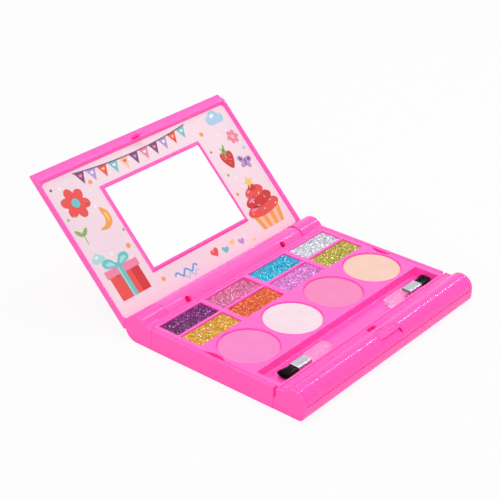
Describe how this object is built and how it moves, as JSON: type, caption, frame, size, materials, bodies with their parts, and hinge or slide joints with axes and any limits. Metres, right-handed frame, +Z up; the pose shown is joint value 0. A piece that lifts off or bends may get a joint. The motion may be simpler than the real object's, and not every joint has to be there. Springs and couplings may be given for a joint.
{
  "type": "make-up compact",
  "caption": "Clamshell make-up compact in the form of a small laptop, with a lift-out palette, brushes, a latch and a mirror lid.",
  "frame": {"origin": "middle of the underside of the base", "axes": "+X to the right, +Y to the hinge at the back, +Z up; the lid stands open"},
  "size_m": [0.17, 0.2077, 0.0849],
  "materials": {
    "pink_shell": "injection moulded ABS, polished",
    "palette": "injection moulded ABS, polished",
    "lid_plastic": "injection moulded ABS, polished",
    "latch_plastic": "injection moulded ABS with fine ribs",
    "pin_steel": "drawn steel rod",
    "spring_steel": "spring wire",
    "pan_plastic": "thin moulded dish",
    "powder_pink": "pressed powder",
    "powder_white": "pressed powder with pearl",
    "powder_rose": "pressed powder",
    "powder_peach": "pressed powder",
    "glitter_purple": "set gel with fine glitter",
    "glitter_pink": "set gel with fine glitter",
    "glitter_blue": "set gel with fine glitter",
    "glitter_silver": "set gel with fine glitter",
    "glitter_gold": "set gel with fine glitter",
    "glitter_orange": "set gel with fine glitter",
    "glitter_lilac": "set gel with fine glitter",
    "glitter_olive": "set gel with fine glitter",
    "handle_clear": "clear moulded plastic",
    "ferrule_metal": "pressed sheet, crimped",
    "bristle": "cut synthetic fibre",
    "card": "printed coated card",
    "mirror": "silvered glass",
    "tape": "double-sided foam pad"
  },
  "bodies": {
    "base": {"bottom_shell": "pink_shell", "tray_frame": "pink_shell", "front_cover": "pink_shell", "hinge_pin_left": "pin_steel", "hinge_pin_right": "pin_steel", "latch_spring": "spring_steel"},
    "latch": {"latch_button": "latch_plastic"},
    "palette": {"palette_tray": "palette", "pan_1": "pan_plastic", "pan_2": "pan_plastic", "pan_3": "pan_plastic", "pan_4": "pan_plastic", "powder_1": "powder_pink", "powder_2": "powder_white", "powder_3": "powder_rose", "powder_4": "powder_peach", "glitter_1": "glitter_purple", "glitter_2": "glitter_pink", "glitter_3": "glitter_blue", "glitter_4": "glitter_silver", "glitter_5": "glitter_gold", "glitter_6": "glitter_orange", "glitter_7": "glitter_lilac", "glitter_8": "glitter_olive"},
    "brush_left": {"brush_left_handle": "handle_clear", "brush_left_ferrule": "ferrule_metal", "brush_left_bristles": "bristle"},
    "brush_right": {"brush_right_handle": "handle_clear", "brush_right_ferrule": "ferrule_metal", "brush_right_bristles": "bristle"},
    "lid": {"lid_shell": "lid_plastic", "lid_card": "card", "mirror_plate": "mirror", "mirror_tape": "tape"}
  },
  "joints": [
    {"name": "lid_hinge", "type": "hinge", "parent": "base", "child": "lid", "pos_m": [0, 0.0572, 0.0088], "axis": [-1, 0, 0], "range_deg": [-134.8, 0]},
    {"name": "latch_slide", "type": "slide", "parent": "base", "child": "latch", "axis": [0, -0.866, -0.5], "range_m": [0, 0.0022], "stiffness_N_per_m": 150, "springref_m": -0.002, "deforming": ["latch_spring"]},
    {"name": "palette_lift", "type": "slide", "parent": "base", "child": "palette", "axis": [0, 0, 1], "range_m": [0, 0.025]},
    {"name": "brush_left_lift", "type": "slide", "parent": "palette", "child": "brush_left", "axis": [0, 0, 1], "range_m": [0, 0.02]},
    {"name": "brush_right_lift", "type": "slide", "parent": "palette", "child": "brush_right", "axis": [0, 0, 1], "range_m": [0, 0.02]}
  ]
}
